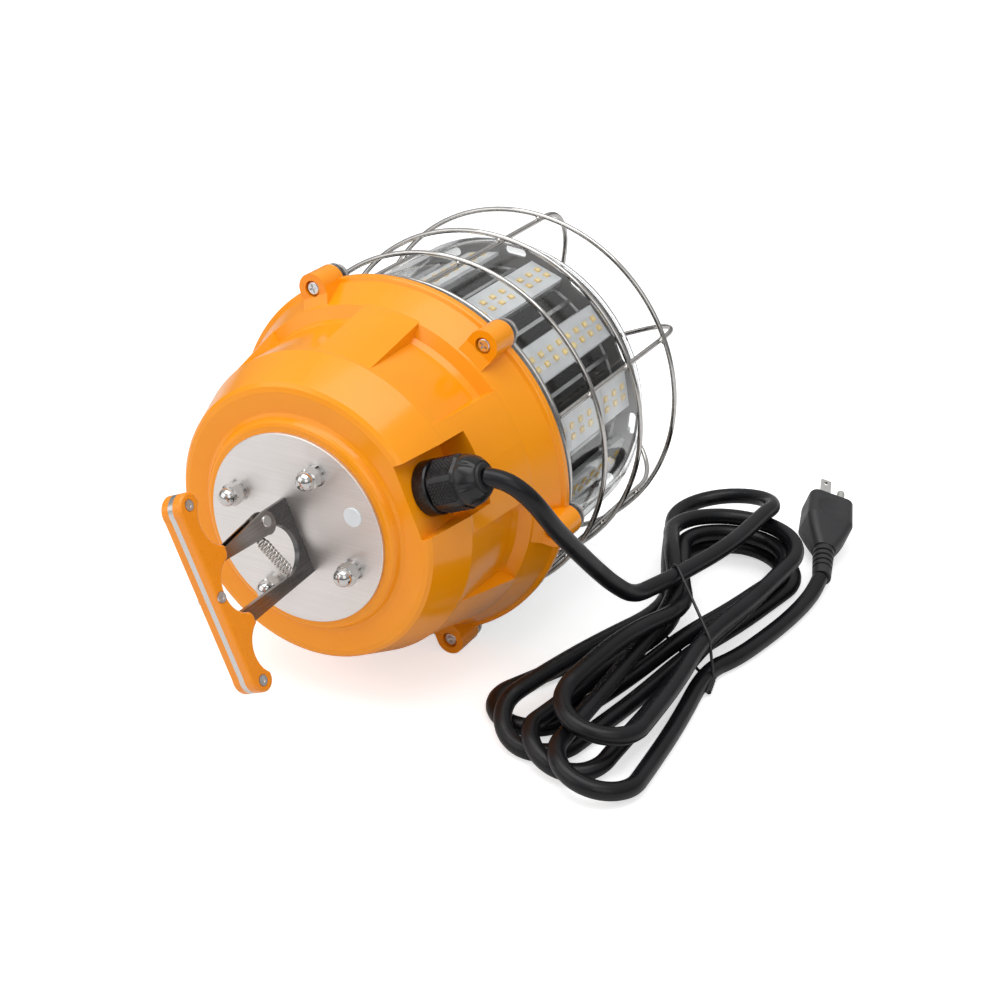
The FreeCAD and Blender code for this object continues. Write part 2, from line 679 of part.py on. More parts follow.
def cage_wire(index):
    """A lengthwise wire with its end bent in over the lamp's nose."""
    r = WIRE_CIRCLE_R
    start = Vec(r, 0, BASE_RING + WIRE_R)
    bend = Vec(r, 0, CAGE_END - CAGE_BEND_R)
    knee = 0.7071 * CAGE_BEND_R
    middle = Vec(r - CAGE_BEND_R + knee, 0, CAGE_END - CAGE_BEND_R + knee)
    top = Vec(r - CAGE_BEND_R, 0, CAGE_END)
    end = Vec(END_RING_R - 1.5, 0, CAGE_END)
    path = Part.Wire([Part.LineSegment(start, bend).toShape(), Part.Arc(bend, middle, top).toShape(),
                      Part.LineSegment(top, end).toShape()])
    section = Part.Wire([Part.Circle(start, Vec(0, 0, 1), WIRE_R).toShape()])
    return turned(path.makePipeShell([section], True, False), BLOCK_PHASE + 60 * index)


def cage_feet():
    high = FOOT_LOW + FOOT_T
    centre = polar(BOSS_CIRCLE_R, 0)
    foot = fuse([box(FOOT_INNER, BOSS_CIRCLE_R, -FOOT_R, FOOT_R, FOOT_LOW, high),
                 cyl(FOOT_R, FOOT_LOW, high, centre)])
    foot = foot.cut(cyl(SCREW_R + 0.05, FOOT_LOW - 1, high + 1, centre))
    return around(foot, 6, BOSS_PHASE)


def boss_screws():
    centre = polar(BOSS_CIRCLE_R, 0)
    top = SCREW_SEAT - SCREW_HEAD_T
    head = cyl(SCREW_HEAD_R, top, SCREW_SEAT, centre)
    rim = [e for e in head.Edges if e.BoundBox.ZMax < top + 0.1 and e.Length > 10]
    head = head.makeFillet(0.9, rim)
    bottom = top + SCREW_CROSS_DEPTH
    across = box(centre.x - SCREW_CROSS, centre.x + SCREW_CROSS, -SCREW_CROSS_HALF_W, SCREW_CROSS_HALF_W,
                 70, bottom)
    along = box(centre.x - SCREW_CROSS_HALF_W, centre.x + SCREW_CROSS_HALF_W, -SCREW_CROSS, SCREW_CROSS,
                70, bottom)
    shank = cyl(SCREW_R, SCREW_SEAT - 0.5, FOOT_LOW + FOOT_T + 2.0, centre)
    return around(fuse([head, shank]).cut(across.fuse(along)), 6, BOSS_PHASE)


# ---------------------------------------------------------------- mains lead
GLAND_EXIT = (GLAND_TIP * math.sin(math.radians(GLAND_ANGLE)), PLATE_Y + GLAND_Y,
              AXIS_Z + GLAND_TIP * math.cos(math.radians(GLAND_ANGLE)))
# Route of the lead from the gland's face down to the tied coil, in row millimetres.
FREE_ROUTE = [GLAND_EXIT, (98.0, -73.1, 139.2), (105.4, -71.2, 137.6), (112.0, -68.4, 134.0),
              (117.0, -64.9, 128.9), (119.9, -61.0, 122.6), (120.9, -56.4, 114.6), (121.2, -49.4, 104.8),
              (121.9, -39.2, 92.4), (123.9, -25.6, 78.0), (127.0, -8.6, 61.6), (131.0, 9.6, 45.6),
              (135.9, 28.3, 31.3), (139.7, 48.3, 19.0)]


def cord_tube(route, radius):
    """Straight runs joined by tangent arcs, each arc as large as its two runs allow."""
    points = [Vec(*p) for p in route]
    edges = []
    here = points[0]
    for before, corner, after in zip(points, points[1:], points[2:]):
        back = before - corner
        ahead = after - corner
        cut = ARC_SHARE * min(back.Length, ahead.Length)
        half_turn = (math.pi - back.getAngle(ahead)) / 2
        arc_r = cut / math.tan(half_turn)
        back.normalize()
        ahead.normalize()
        inward = back + ahead
        inward.normalize()
        middle = corner + inward * (arc_r / math.cos(half_turn) - arc_r)
        entry = corner + back * cut
        leave = corner + ahead * cut
        edges.append(Part.LineSegment(here, entry).toShape())
        edges.append(Part.Arc(entry, middle, leave).toShape())
        here = leave
        print("bend of %4.1f degrees, radius %5.1f mm" % (math.degrees(2 * half_turn), arc_r))
    edges.append(Part.LineSegment(here, points[-1]).toShape())
    path = Part.Wire(edges)
    section = Part.Wire([Part.Circle(points[0], points[1] - points[0], radius).toShape()])
    tube_solid = path.makePipeShell([section], True, False)
    section_times_length = math.pi * radius ** 2 * path.Length
    print("tube length %.1f mm, volume %.0f mm3, section times length %.0f mm3"
          % (path.Length, tube_solid.Volume, section_times_length))
    return tube_solid


HANK_TOP = 27.0
HANK_OUTLINE = [(119.0, 75.0), (97.0, 110.0), (84.0, 158.0), (86.0, 197.0), (108.0, 212.0), (134.0, 200.0),
                (155.0, 178.0), (178.0, 157.0), (192.0, 136.0), (193.0, 110.0), (187.0, 66.0), (181.0, 12.0),
                (182.0, -30.0), (182.0, -78.0), (174.0, -109.0), (156.0, -115.0), (132.0, -104.0),
                (104.0, -97.0), (88.0, -78.0), (86.0, -52.0), (96.0, -14.0), (106.0, 22.0), (116.0, 50.0)]


def cord_hank():
    """The tied coil of lead as one closed body of its outer shape."""
    curve = Part.BSplineCurve()
    curve.interpolate([Vec(x, y, 0) for x, y in HANK_OUTLINE], PeriodicFlag=True)
    body = Part.Face(Part.Wire([curve.toShape()])).extrude(Vec(0, 0, HANK_TOP))
    top = [e for e in body.Edges if e.BoundBox.ZMin > HANK_TOP - 0.1]
    return body.makeFillet(6.0, top)


TIE_FROM = (115.5, 65.5)
TIE_TO = (182.5, 11.0)
TIE_W = 3.0
TIE_T = 1.2


def cord_tie():
    """Thin tie that goes once round the coil at its waist, with a twisted knot on the outer side."""
    start = Vec(*TIE_FROM, 0)
    across = Vec(*TIE_TO, 0) - start
    span = across.Length
    band = box(0, span, -TIE_W / 2, TIE_W / 2, 0, HANK_TOP + TIE_T)
    band = band.cut(box(TIE_T, span - TIE_T, -5, 5, TIE_T, HANK_TOP))
    band = band.makeFillet(0.9, [e for e in band.Edges if abs(e.BoundBox.YLength - TIE_W) < 0.01
                                 and e.BoundBox.ZMin > HANK_TOP])
    knot = Part.makeSphere(3.2, Vec(span + 1.5, 0, 9.0))
    tie = fuse([band, knot])
    tie.rotate(Vec(0, 0, 0), Vec(0, 0, 1), math.degrees(math.atan2(across.y, across.x)))
    tie.translate(start)
    return tie


PLUG_FRONT = Vec(168.0, 207.0, 18.8)
PLUG_AXIS = Vec(-0.30, 0.94, 0.16)
PLUG_ROLL = 18.0


def plug(shape):
    """Put a shape modelled along Z, its pins pointing to +Z from the plug's face, at the plug."""
    axis = Vec(PLUG_AXIS)
    axis.normalize()
    moved = shape.copy()
    moved.rotate(Vec(0, 0, 0), Vec(0, 0, 1), PLUG_ROLL)
    side = Vec(0, 0, 1).cross(axis)
    side.normalize()
    up = axis.cross(side)
    axes = FreeCAD.Matrix(side.x, up.x, axis.x, PLUG_FRONT.x,
                          side.y, up.y, axis.y, PLUG_FRONT.y,
                          side.z, up.z, axis.z, PLUG_FRONT.z,
                          0, 0, 0, 1)
    moved.Placement = FreeCAD.Placement(axes).multiply(moved.Placement)
    return moved


def rounded_section(width, height, corner, z):
    w, h, c = width / 2, height / 2, corner
    k = c * (1 - 0.7071)
    edges = []
    for sx, sy in ((1, 1), (-1, 1), (-1, -1), (1, -1)):
        flip = sx * sy > 0
        a = (sx * w, sy * (h - c))
        b = (sx * (w - c), sy * h)
        start, end = (a, b) if flip else (b, a)
        edges.append(Part.Arc(Vec(*start, z), Vec(sx * (w - k), sy * (h - k), z), Vec(*end, z)).toShape())
        nxt = (-sx * (w - c), sy * h) if flip else (sx * w, -sy * (h - c))
        edges.append(Part.LineSegment(Vec(*end, z), Vec(*nxt, z)).toShape())
    return Part.Wire(edges)


def plug_body():
    block = Part.makeLoft([rounded_section(27, 22, 5, 0), rounded_section(28, 23, 5, -22)], True, True)
    waist = Part.makeLoft([rounded_section(28, 23, 5, -22), rounded_section(20, 17, 5, -35),
                           rounded_section(13, 13, 5, -44)], True, False)
    recess = Part.makeSphere(30, Vec(0, 11.5 + 28.2, -14))
    return plug(fuse([block, waist]).cut(recess).cut(mirrored_y(recess)))


def mirrored_y(shape):
    return shape.mirror(Vec(0, 0, 0), Vec(0, 1, 0))


def plug_strain_relief():
    cone = Part.makeCone(6.3, 5.3, 25, Vec(0, 0, -44), Vec(0, 0, -1))
    grooves = [tube(9, 5.0, -49.5 - 4.4 * k, -48.0 - 4.4 * k) for k in range(4)]
    return plug(cone.cut(grooves[0].multiFuse(grooves[1:])))


BLADE_GAP = 12.7
BLADE_SIZE = (1.5, 6.35, 17.9)
BLADE_X = 4.0               # the blades stand this far to one side of the plug's middle
PIN_R = 2.4
PIN_LENGTH = 21.4
PIN_DROP = 11.9             # from the blades' common middle to the ground pin


def plug_blades():
    t, w, length = BLADE_SIZE
    blades = []
    for side in (-1, 1):
        y = side * BLADE_GAP / 2
        blade = box(BLADE_X - w / 2, BLADE_X + w / 2, y - t / 2, y + t / 2, 0, length)
        hole = Part.makeCylinder(1.6, 30, Vec(BLADE_X, -15, length - 3.6), Vec(0, 1, 0))
        blades.append(plug(blade.cut(hole)))
    return blades


def plug_ground_pin():
    pin = Part.makeCylinder(PIN_R, PIN_LENGTH - PIN_R, Vec(BLADE_X - PIN_DROP, 0, 0))
    tip = Part.makeSphere(PIN_R, Vec(BLADE_X - PIN_DROP, 0, PIN_LENGTH - PIN_R))
    return plug(fuse([pin, tip]))


# ---------------------------------------------------------------- all nodes
def build():
    os.makedirs("parts", exist_ok=True)
    lamp_nodes = {
        "top_housing": top_housing(), "mount_plate": mount_plate(), "breather_plug": breather_plug(),
        "gland_body": gland_body(), "gland_locknut": gland_locknut(), "gland_nut": gland_nut(),
        "gland_seal": gland_seal(), "cord_entry": cord_entry(), "housing_gasket": housing_gasket(),
        "lens_drum": lens_drum(), "engine_base": engine_base(), "heat_sink": heat_sink(),
        "end_plate": end_plate(), "driver_case": driver_case(), "driver_bracket": driver_bracket(),
        "terminal_block": terminal_block(),
        "cage_base_ring": ring(WIRE_CIRCLE_R, BASE_RING),
        "cage_end_ring": ring(END_RING_R, CAGE_END - 2 * WIRE_R),
    }
    for name, place in zip(("front", "middle", "rear"), RING_PLACES):
        lamp_nodes["cage_ring_" + name] = ring(CAGE_R, place)
    for index in range(6):
        lamp_nodes["cage_wire_%d" % (index + 1)] = cage_wire(index)
    for index in range(BOARD_COUNT):
        lamp_nodes["led_board_%02d" % (index + 1)] = led_board(index)
    lamp_groups = {
        "plate_studs": plate_studs(), "flat_washers": flat_washers(), "lock_washers": lock_washers(),
        "acorn_nuts": acorn_nuts(), "led_chips": led_chips(), "cage_feet": cage_feet(),
        "boss_screws": boss_screws(),
    }
    for node, shapes in lamp_groups.items():
        lamp_nodes[node] = Part.Compound(shapes)
    scale = grip_scale()
    hook_nodes = {
        "hook_plate": hook_plate(), "grip_right": scale, "grip_left": mirrored(scale),
        "grip_rivets": Part.Compound(grip_rivets()), "hook_gate": hook_gate(), "gate_rivet": gate_rivet(),
        "gate_spring": gate_spring(),
    }
    free_nodes = {
        "cord_free": cord_tube(FREE_ROUTE, CORD_R), "cord_hank": cord_hank(), "cord_tie": cord_tie(),
        "plug_body": plug_body(), "plug_strain_relief": plug_strain_relief(),
        "plug_blades": Part.Compound(plug_blades()), "plug_ground_pin": plug_ground_pin(),
    }
    for node, shape in lamp_nodes.items():
        export(node, lamp(shape))
    for node, shape in hook_nodes.items():
        export(node, hook(shape))
    for node, shape in free_nodes.items():
        export(node, shape)
    print("nodes:", len(lamp_nodes) + len(hook_nodes) + len(free_nodes))


build()
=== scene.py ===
"""A hanging LED work light with a wire guard, lying on its side beside its tied lead."""

import math

import bmesh
import bpy
import numpy as np
from mathutils import Matrix, Vector


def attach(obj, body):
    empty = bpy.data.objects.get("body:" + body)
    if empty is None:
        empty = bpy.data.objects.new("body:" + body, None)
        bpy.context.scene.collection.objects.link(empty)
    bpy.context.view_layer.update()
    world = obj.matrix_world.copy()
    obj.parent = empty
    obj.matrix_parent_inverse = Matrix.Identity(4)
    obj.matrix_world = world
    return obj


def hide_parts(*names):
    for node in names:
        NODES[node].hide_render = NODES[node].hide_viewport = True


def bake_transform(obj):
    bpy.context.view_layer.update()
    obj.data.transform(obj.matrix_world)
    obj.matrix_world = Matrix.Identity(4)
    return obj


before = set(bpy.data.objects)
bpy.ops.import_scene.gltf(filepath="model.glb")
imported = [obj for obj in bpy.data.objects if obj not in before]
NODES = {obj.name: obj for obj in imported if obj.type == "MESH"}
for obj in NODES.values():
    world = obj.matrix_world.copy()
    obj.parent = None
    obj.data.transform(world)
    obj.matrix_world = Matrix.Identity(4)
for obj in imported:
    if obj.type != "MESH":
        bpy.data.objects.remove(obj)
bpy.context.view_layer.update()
MM = 0.001                   # lengths below are in millimetres unless they say metres
PLATE_Y = -98.7              # face of the end plate, from which depths along the lamp are counted
AXIS_Z = 100.0               # height of the lamp's axis above the floor


# ---------------------------------------------------------------- camera
CAMERA_AT = (0.4552, -0.7156, 0.4910)        # metres
CAMERA_RIGHT = (0.8746, 0.48485, 0.0)
CAMERA_UP = (-0.2145, 0.38694, 0.89681)
CAMERA_BACK = (0.43482, -0.78435, 0.44242)
CAMERA_LENS = 63.47
SENSOR_WIDTH = 36.0
CLIP_START = 0.02            # metres


def add_camera():
    data = bpy.data.cameras.new("camera")
    data.lens = CAMERA_LENS
    data.sensor_width = SENSOR_WIDTH
    data.clip_start = CLIP_START
    camera = bpy.data.objects.new("camera", data)
    bpy.context.scene.collection.objects.link(camera)
    rows = zip(CAMERA_RIGHT, CAMERA_UP, CAMERA_BACK, CAMERA_AT)
    camera.matrix_world = Matrix([*rows, (0, 0, 0, 1)])
    bpy.context.scene.camera = camera


add_camera()


# ---------------------------------------------------------------- mesh helpers
def add_mesh(name, verts, faces, smooth=True):
    mesh = bpy.data.meshes.new(name)
    mesh.from_pydata([tuple(v) for v in verts], [], faces)
    mesh.validate()
    if smooth:
        mesh.polygons.foreach_set("use_smooth", [True] * len(mesh.polygons))
    piece = bpy.data.objects.new(name, mesh)
    bpy.context.scene.collection.objects.link(piece)
    return piece


def tube_along(points, radius, sides, closed=False):
    """Vertices and faces of a round tube along points, with its frame carried without twist."""
    count = len(points)
    verts, faces = [], []
    normal = None
    for i, p in enumerate(points):
        before = points[i - 1] if i or closed else p
        after = points[(i + 1) % count] if i + 1 < count or closed else p
        tangent = (after - before).normalized()
        if normal is None:
            normal = tangent.orthogonal()
        normal = (normal - tangent * normal.dot(tangent)).normalized()
        side = tangent.cross(normal)
        for k in range(sides):
            a = 2 * math.pi * k / sides
            verts.append(p + (normal * math.cos(a) + side * math.sin(a)) * radius)
    rings = count if closed else count - 1
    for i in range(rings):
        j = (i + 1) % count
        for k in range(sides):
            m = (k + 1) % sides
            faces.append((i * sides + k, i * sides + m, j * sides + m, j * sides + k))
    if not closed:
        faces.append(tuple(reversed(range(sides))))
        faces.append(tuple(range((count - 1) * sides, count * sides)))
    return verts, faces


HOOK_TURN = math.radians(23.0)


def hook_point(out, h):
    """A point in the hook's plane: out from the plate, and down the hook from the lamp's axis."""
    return Vector((h * math.sin(HOOK_TURN), PLATE_Y - out, AXIS_Z - h * math.cos(HOOK_TURN))) * MM


def lamp_point(radius, angle, depth):
    """A point given round the lamp's axis: degrees from the top towards +X, depth behind the plate."""
    a = math.radians(angle)
    return Vector((radius * math.sin(a), PLATE_Y + depth, AXIS_Z + radius * math.cos(a))) * MM


# ---------------------------------------------------------------- the lead
CORD_R = 4.6
FREE_ROUTE = [(92.05, -73.7, 139.07), (97.6, -72.9, 139.2), (103.4, -71.4, 137.4), (108.5, -69.0, 133.4),
              (112.4, -65.6, 127.7), (115.2, -61.1, 120.6), (117.4, -54.6, 111.2), (119.4, -45.6, 100.6),
              (121.5, -34.6, 88.7), (123.8, -21.8, 75.1), (127.0, -7.0, 60.0), (131.2, 10.4, 45.2),
              (135.9, 28.3, 31.3), (139.7, 45.3, 24.0)]
TIE_FROM = Vector((115.5, 65.5, 0.0))
TIE_TO = Vector((182.5, 11.0, 0.0))
# Each turn of the hank: the loop beyond the tie, where the turn passes the tie on its way back, the
# loop on the near side, and where it passes the tie again. A loop has the centre and radius of its
# round end, and its height on the way in, at three places round the end, and on the way out.
TURNS = [
    {"far": (122, 154, 28.5), "far_z": (24, 14, 4.8, 4.8, 13), "left": (26.6, 14),
     "near": (120, -67, 20.0), "near_z": (14, 12.5, 5, 4.8, 4.8), "right": (49.9, 4.8)},
    {"far": (141, 128, 34.0), "far_z": (4.8, 4.8, 4.8, 4.8, 4.8), "left": (22, 4.8),
     "near": (106, -50, 20.0), "near_z": (4.8, 4.8, 4.8, 4.8, 4.8), "right": (40.6, 4.8)},
    {"far": (141, 123, 28.5), "far_z": (5, 4.8, 4.8, 4.8, 4.8), "left": (31.3, 4.8),
     "near": (140, -76, 20.0), "near_z": (14, 13.5, 5.5, 4.8, 4.8), "right": (59.2, 4.8)},
    {"far": (144, 119, 29.0), "far_z": (14, 14, 14, 14, 13), "left": (45.2, 13.9),
     "near": (151, -64, 20.0), "near_z": (15, 14.4, 14.1, 14.1, 13.9), "right": (63.8, 13.9)},
    {"far": (143.5, 118, 35.0), "far_z": (14, 14, 14, 14, 14), "left": (36, 13.9),
     "near": (160, -87, 20.0), "near_z": (14.2, 13, 4.8, 4.8, 4.8), "right": (68.5, 4.8)},
]
FIRST_TURN_FROM = 40.0       # where along the tie the lead comes down to it
LEAD_END = [(178.0, 42.0, 4.8), (184.5, 74.0, 4.8), (187.8, 98.0, 4.8), (189.1, 118.0, 5.0),
            (189.0, 133.0, 6.4), (187.5, 146.0, 8.4)]
STRAND_BOW = 2.0             # how far a strand bows outwards between the tie and its loop
CORNERS = 6                  # control points round the end of a loop
HEIGHT_PLACES = (0.0, 0.31, 0.5, 0.8, 1.0)   # shares of the way round a loop where its heights hold
LOWEST = 4.8                 # centreline of a strand that lies on the floor


def tie_point(place, height=0.0):
    """The point at a distance along the tie."""
    at = TIE_FROM + (TIE_TO - TIE_FROM).normalized() * place
    return Vector((at.x, at.y, height))


def touching(point, centre, radius, side):
    """Where a line from a point touches a circle on one side, and the line's direction."""
    to = centre - point
    way = (Matrix.Rotation(side * math.asin(radius / to.length), 3, "Z") @ to).normalized()
    return point + way * math.sqrt(to.length_squared - radius ** 2), way


def loop_points(loop, heights, start, end):
    """Points of one end loop of the hank: the strand out, the round end, and the strand back."""
    cx, cy, radius = loop
    centre = Vector((cx, cy, 0.0))
    strands = []
    for base, side in ((tie_point(start), -1), (tie_point(end), 1)):
        touch, way = touching(base, centre, radius, side)
        middle = (base + touch) / 2 + (touch - centre).normalized() * STRAND_BOW
        touch, way = touching(middle, centre, radius, side)
        strands.append((middle, touch - centre, way))
    (leaving, first, way_out), (coming, last, way_back) = strands
    begin = math.atan2(first.y, first.x)
    step = ((math.atan2(last.y, last.x) - begin) % (2 * math.pi)) / CORNERS
    corner_r = radius / math.cos(step / 2)
    edge = 2 * radius * math.tan(step / 2)
    angles = [begin + (k + 0.5) * step for k in range(CORNERS)]
    corners = [centre + Vector((math.cos(a), math.sin(a), 0.0)) * corner_r for a in angles]
    flat = [leaving, corners[0] - way_out * edge] + corners + [corners[-1] - way_back * edge, coming]
    keys = [share * (len(flat) - 1) for share in HEIGHT_PLACES]
    lift = np.interp(range(len(flat)), keys, heights)
    return [(p.x, p.y, float(z)) for p, z in zip(flat, lift)]


def lead_points():
    """The whole lead's control points, before the strands settle on each other."""
    points = list(FREE_ROUTE)
    before = FIRST_TURN_FROM
    for turn in TURNS:
        left, right = turn["left"][0], turn["right"][0]
        points += loop_points(turn["far"], turn["far_z"], before, left)
        points.append(tuple(tie_point(*turn["left"])))
        points += loop_points(turn["near"], turn["near_z"], left, right)
        points.append(tuple(tie_point(*turn["right"])))
        before = right
    return points + LEAD_END


def spline_weights(count, per_span=8):
    """How much each control point counts at places along an order 3 spline through its end points."""
    rows = []
    for i in range(1, count - 1):
        for t in np.arange(per_span) / per_span:
            row = np.zeros(count)
            before, here, after = (1 - t) ** 2, 2 * t * (1 - t), t * t
            for share, other, is_end in ((before, i - 1, i == 1), (after, i + 1, i == count - 2)):
                row[other] += share if is_end else share / 2
                row[i] += 0 if is_end else share / 2
            row[i] += here
            rows.append(row)
    rows.append(np.eye(count)[-1])
    return np.array(rows)


SETTLE_ROUNDS = 200
STIFFNESS = 0.12             # share of each round that evens out a strand's height
SINK = 0.03                  # how far a strand sinks in each round
APART = 2.02 * CORD_R        # distance between strands that rest on each other
SAME_STRAND = 6 * CORD_R     # places nearer than this along the lead don't push each other
LOOSE = slice(len(FREE_ROUTE) - 2, -3)       # control points that may be lifted


def settle(points):
    """Lift strands of the hank off the ones that they cross, until they lie a diameter apart."""
    points = np.array(points)
    count = len(points)
    weights = spline_weights(count)
    loose = np.zeros(count, bool)
    loose[LOOSE] = True
    for _ in range(SETTLE_ROUNDS):
        line = weights @ points
        run = np.append(0.0, np.cumsum(np.linalg.norm(np.diff(line, axis=0), axis=1)))
        east, north, rise = (np.subtract.outer(c, c) for c in line.T)
        plan = np.hypot(east, north)
        further = np.subtract.outer(run, run)
        other = np.abs(further) > SAME_STRAND
        lack = np.sqrt(np.maximum(0.0, APART ** 2 - plan ** 2)) - np.abs(rise)
        lack = np.where(other & (plan < 2 * CORD_R), np.maximum(0.0, lack), 0.0)
        above = (rise > 0) | ((rise == 0) & (further > 0))
        lift = np.where(above, lack, -lack)
        push = (lift.max(axis=1) + lift.min(axis=1)) / 2
        share = weights.T @ (push != 0).astype(float)
        move = (weights.T @ push) / np.maximum(share, 1e-6)
        height = points[:, 2] + np.where(loose, move, 0.0)
        even = height.copy()
        even[1:-1] += STIFFNESS * ((height[:-2] + height[2:]) / 2 - height[1:-1])
        points[loose, 2] = np.maximum(LOWEST, even[loose] - SINK)
    return points.tolist()


def add_lead():
    """The lead as one spline; each point's radius is the lead's own, in metres."""
    data = bpy.data.curves.new("lead", "CURVE")
    data.dimensions = "3D"
    spline = data.splines.new("NURBS")
    points = settle(lead_points())
    spline.points.add(len(points) - 1)
    for target, p in zip(spline.points, points):
        target.co = (p[0] * MM, p[1] * MM, p[2] * MM, 1.0)
        target.radius = CORD_R * MM
    spline.order_u = 3
    spline.use_endpoint_u = True
    data.resolution_u = 8
    data.bevel_depth = 1.0
    data.bevel_resolution = 7
    data.use_fill_caps = True
    piece = bpy.data.objects.new("lead", data)
    bpy.context.scene.collection.objects.link(piece)
    return piece


def centreline(piece):
    """Points along the middle of a curve piece, as it is drawn."""
    bare = piece.data.copy()
    bare.bevel_depth = 0
    carrier = bpy.data.objects.new("bare", bare)
    mesh = bpy.data.meshes.new_from_object(carrier)
    line = [v.co.copy() for v in mesh.vertices]
    bpy.data.objects.remove(carrier)
    bpy.data.meshes.remove(mesh)
    bpy.data.curves.remove(bare)
    return line


lead = add_lead()
lead_line = centreline(lead)
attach(lead, "lamp")
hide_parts("cord_free", "cord_hank")


# ---------------------------------------------------------------- the tie round the hank
TIE_R = 0.0008               # metres, as are the sizes below
TIE_LOWEST = 0.0009
TIE_SPAN = (-0.02, 0.11)     # how far along the tie's line a strand counts as inside it
TIE_STEP = 0.0025
TIE_SIDES = 10
STRAND_SIDES = 24            # points on the outline of one strand
KNOT_TWISTS = 2.5
KNOT_REACH = 0.009
KNOT_SPREAD = 0.0011
KNOT_POINTS = 40


def hull(points):
    """Corners of the convex outline of flat points, anticlockwise."""
    points = sorted(points)

    def half(ordered):
        chain = []
        for p in ordered:
            while len(chain) > 1 and ((chain[-1][0] - chain[-2][0]) * (p[1] - chain[-2][1])
                                      <= (chain[-1][1] - chain[-2][1]) * (p[0] - chain[-2][0])):
                chain.pop()
            chain.append(p)
        return chain[:-1]

    return half(points) + half(points[::-1])


def tie_outline():
    """The tie's path: the outline of the strands that cross its plane, plus half its wire."""
    along = (TIE_TO - TIE_FROM).normalized()
    across = Vector((-along.y, along.x, 0.0))
    origin = TIE_FROM * MM
    reach = CORD_R * MM + TIE_R
    flat = []
    for a, b in zip(lead_line, lead_line[1:]):
        side_a, side_b = (a - origin).dot(across), (b - origin).dot(across)
        if side_a * side_b <= 0 and side_a != side_b:
            p = a.lerp(b, side_a / (side_a - side_b))
            at = (p - origin).dot(along)
            if TIE_SPAN[0] < at < TIE_SPAN[1]:
                for k in range(STRAND_SIDES):
                    turn = 2 * math.pi * k / STRAND_SIDES
                    height = p.z + reach * math.sin(turn)
                    flat.append((at + reach * math.cos(turn), max(TIE_LOWEST, height)))
    return [origin + along * s + Vector((0, 0, z)) for s, z in hull(flat)]


def resample(points, step):
    """The closed line again, with points about step apart."""
    out = []
    for a, b in zip(points, points[1:] + points[:1]):
        parts = max(1, round((b - a).length / step))
        out += [a.lerp(b, k / parts) for k in range(parts)]
    return out


def add_tie():
    """One turn of thin wire round the strands, and the two ends twisted together beside them."""
    along = (TIE_TO - TIE_FROM).normalized()
    outline = tie_outline()
    across = Vector((-along.y, along.x, 0.0))
    verts, faces = tube_along(resample(outline, TIE_STEP), TIE_R, TIE_SIDES, closed=True)
    knot_from = max(outline, key=lambda p: p.dot(along))
    knot_way = along * (KNOT_REACH * 0.25) + Vector((0.0, -KNOT_REACH, -0.002))
    for start in (0.0, math.pi):
        line = []
        for k in range(KNOT_POINTS):
            t = k / (KNOT_POINTS - 1)
            turn = start + 2 * math.pi * KNOT_TWISTS * t
            round_it = across * math.cos(turn) + Vector((0, 0, math.sin(turn)))
            line.append(knot_from + knot_way * t + round_it * KNOT_SPREAD)
        v, f = tube_along(line, TIE_R, TIE_SIDES)
        faces += [tuple(i + len(verts) for i in face) for face in f]
        verts += v
    return add_mesh("tie", verts, faces)


tie = add_tie()
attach(tie, "lamp")
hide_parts("cord_tie")


# ---------------------------------------------------------------- the gate's spring
SPRING_ON_GATE = hook_point(25.6, -5.3)
SPRING_ON_HOOK = hook_point(15.6, 15.8)
COIL_R = 0.0025              # metres
COIL_WIRE_R = 0.00055        # metres
COIL_TURNS = 11
COIL_STEPS = 22              # points in each turn
COIL_PINCH = 0.35            # share of its radius that the coil loses at each end
COIL_SIDES = 10


def add_spring():
    """A coil spring across the hook's throat, drawn in at both ends."""
    axis = (SPRING_ON_HOOK - SPRING_ON_GATE).normalized()
    side = axis.orthogonal().normalized()
    other = axis.cross(side)
    line = []
    for i in range(COIL_TURNS * COIL_STEPS + 1):
        t = i / (COIL_TURNS * COIL_STEPS)
        a = 2 * math.pi * i / COIL_STEPS
        near_end = max(0.0, 1 - 10 * t) + max(0.0, 10 * t - 9)
        out = (side * math.cos(a) + other * math.sin(a)) * COIL_R * (1.0 - COIL_PINCH * near_end)
        line.append(SPRING_ON_GATE.lerp(SPRING_ON_HOOK, t) + out)
    verts, faces = tube_along(line, COIL_WIRE_R, COIL_SIDES)
    return add_mesh("spring", verts, faces)


spring = add_spring()
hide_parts("gate_spring")


# ---------------------------------------------------------------- LED packages
BOARDS = 12
FIRST_BOARD = 20.0           # degrees from the top towards +X
BOARD_FACE_R = 78.1
CHIP_ROWS = 10
CHIP_PITCH = 10.1
LAST_ROW = 202.5             # depth of the last row behind the plate
ROW_OFFSET = 2.95            # from a board's middle to either row of LEDs
# Half length, half width and height of each level of a package, from its foot to its sunk window.
CHIP_LEVELS = ((1.9, 1.5, 0.0), (1.9, 1.5, 0.55), (1.80, 1.40, 0.68), (1.45, 1.10, 0.70), (1.40, 1.05, 0.60))
CHIP_CORNERS = ((-1, -1), (1, -1), (1, 1), (-1, 1))


def add_chip(verts, faces, centre, out, side):
    """Add one LED package; its last face is the window."""
    base = len(verts)
    for half_l, half_w, h in CHIP_LEVELS:
        for u, v in CHIP_CORNERS:
            verts.append((centre + side * u * half_w + Vector((0, v * half_l, 0)) + out * h) * MM)
    for level in range(len(CHIP_LEVELS) - 1):
        a, b = base + 4 * level, base + 4 * level + 4
        for k in range(4):
            m = (k + 1) % 4
            faces.append((a + k, b + k, b + m, a + m))
    top = len(verts) - 1
    faces.append((base, base + 1, base + 2, base + 3))
    faces.append((top, top - 1, top - 2, top - 3))


